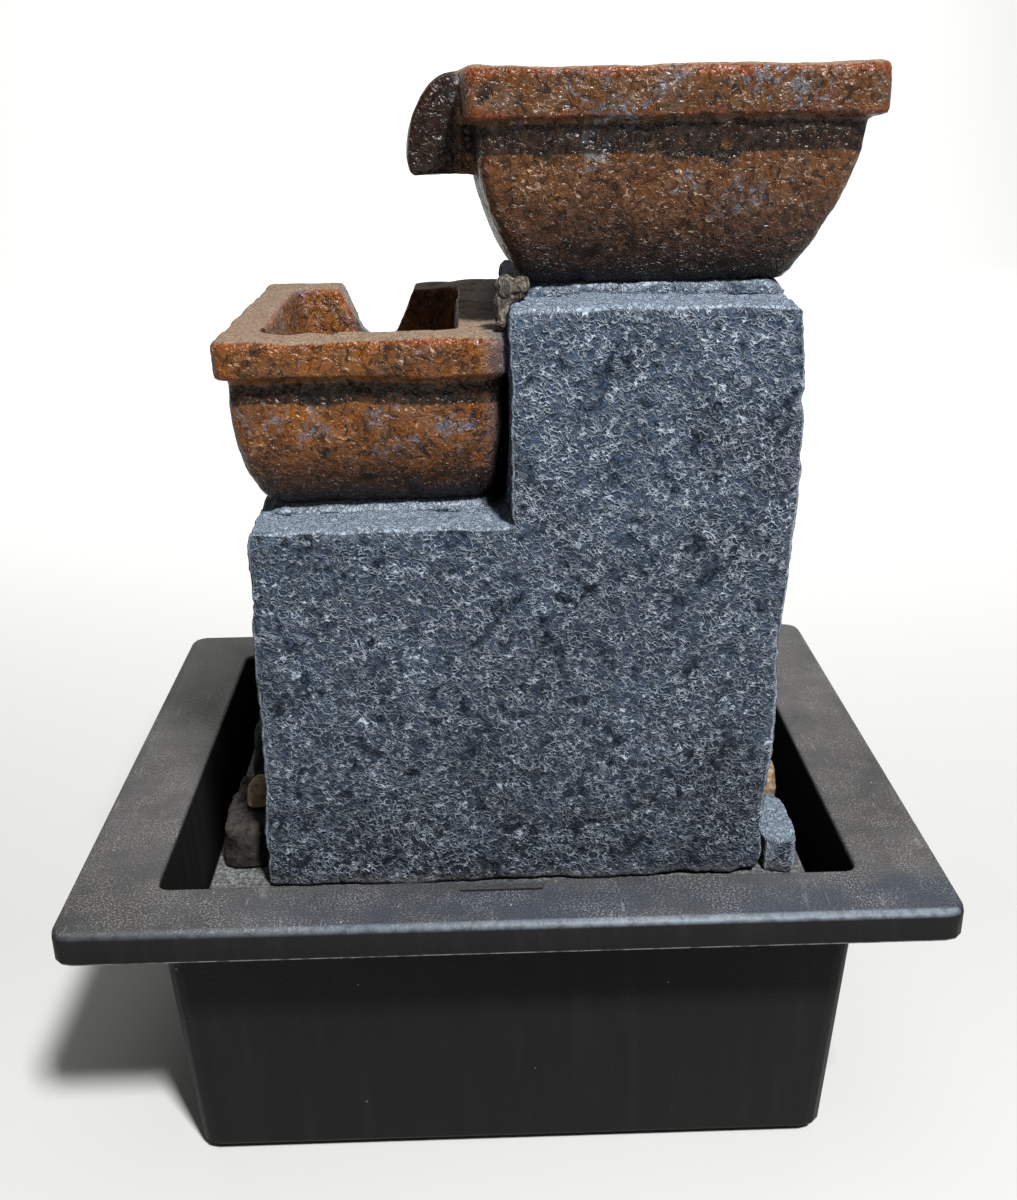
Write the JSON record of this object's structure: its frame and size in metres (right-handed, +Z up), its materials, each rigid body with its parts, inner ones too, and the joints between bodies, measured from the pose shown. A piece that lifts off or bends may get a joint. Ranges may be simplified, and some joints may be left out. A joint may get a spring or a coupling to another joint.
{
  "type": "tabletop water fountain",
  "caption": "Small indoor fountain: two cast bowls on a stepped hollow slate pillar, standing on a deck in a rectangular pump basin.",
  "frame": {"origin": "centre of the basin's footprint, on the surface it stands on", "axes": "+Z up; +X to the right, towards the taller side of the pillar; +Y towards the side the water falls on, away from the cord notch"},
  "size_m": [0.21, 0.17, 0.2643],
  "materials": {
    "black_abs": "semi-matt moulded, fine leather grain, dusty and scratched on the rim",
    "slate": "rough cast, painted dark blue-grey with a pale dry-brush",
    "terracotta": "lumpy cast, orange-brown to dark bronze glaze with blue-grey patches",
    "mortar": "rough grey paint over mortar",
    "brown_stone": "rough matt",
    "tan_stone": "matt",
    "rubber": "matt",
    "silicone": "translucent, satin",
    "pump_plastic": "satin moulded",
    "dial_plastic": "satin moulded",
    "epoxy": "glossy cast",
    "ceramic": "polished",
    "ferrite": "ground",
    "lamination": "stacked sheet edges",
    "copper": "enamelled wire"
  },
  "bodies": {
    "basin_set": {"basin": "black_abs", "motor_housing": "pump_plastic", "potting_cap": "epoxy", "cord_gland": "rubber", "stator_core": "lamination", "stator_winding": "copper", "rotor_shaft": "ceramic", "rear_bush": "rubber", "front_bush": "rubber", "volute": "pump_plastic", "foot_pad_1": "rubber", "suction_cup_1": "silicone", "foot_pad_2": "rubber", "suction_cup_2": "silicone", "foot_pad_3": "rubber", "suction_cup_3": "silicone", "foot_pad_4": "rubber", "suction_cup_4": "silicone"},
    "rotor": {"rotor_magnet": "ferrite", "impeller": "pump_plastic"},
    "intake_cover": {"intake_cover": "pump_plastic"},
    "flow_dial": {"flow_dial": "dial_plastic"},
    "deck_set": {"deck": "black_abs", "ledge_right": "slate", "stone_right_tan": "tan_stone", "stone_left_near": "brown_stone", "stone_left_far": "brown_stone", "pebble_left_tan": "tan_stone", "splash_stone": "slate", "boulder_front": "brown_stone", "boulder_front_right": "slate", "pebble_front_1": "tan_stone", "pebble_front_2": "tan_stone", "pebble_front_3": "brown_stone", "pebble_front_4": "tan_stone"},
    "tower": {"pillar": "slate", "lower_bowl": "terracotta", "lower_bowl_bed": "mortar", "upper_bowl": "terracotta", "upper_bowl_bed": "mortar", "mortar_lump": "mortar", "riser_hose": "silicone", "outlet_grommet": "rubber", "outlet_nozzle": "silicone"}
  },
  "joints": [
    {"name": "impeller_spin", "type": "hinge", "parent": "basin_set", "child": "rotor", "pos_m": [0.005, -0.025, 0.032], "axis": [1, 0, 0], "continuous": true},
    {"name": "intake_cover_slide", "type": "slide", "parent": "basin_set", "child": "intake_cover", "axis": [1, 0, 0], "range_m": [0, 0.018]},
    {"name": "flow_dial_turn", "type": "hinge", "parent": "intake_cover", "child": "flow_dial", "pos_m": [0.0393, -0.025, 0.032], "axis": [1, 0, 0], "range_deg": [0, 90]},
    {"name": "deck_lift", "type": "slide", "parent": "basin_set", "child": "deck_set", "axis": [0, 0, 1], "range_m": [0, 0.085]},
    {"name": "tower_lift", "type": "slide", "parent": "deck_set", "child": "tower", "axis": [0, 0, 1], "range_m": [0, 0.065]}
  ]
}
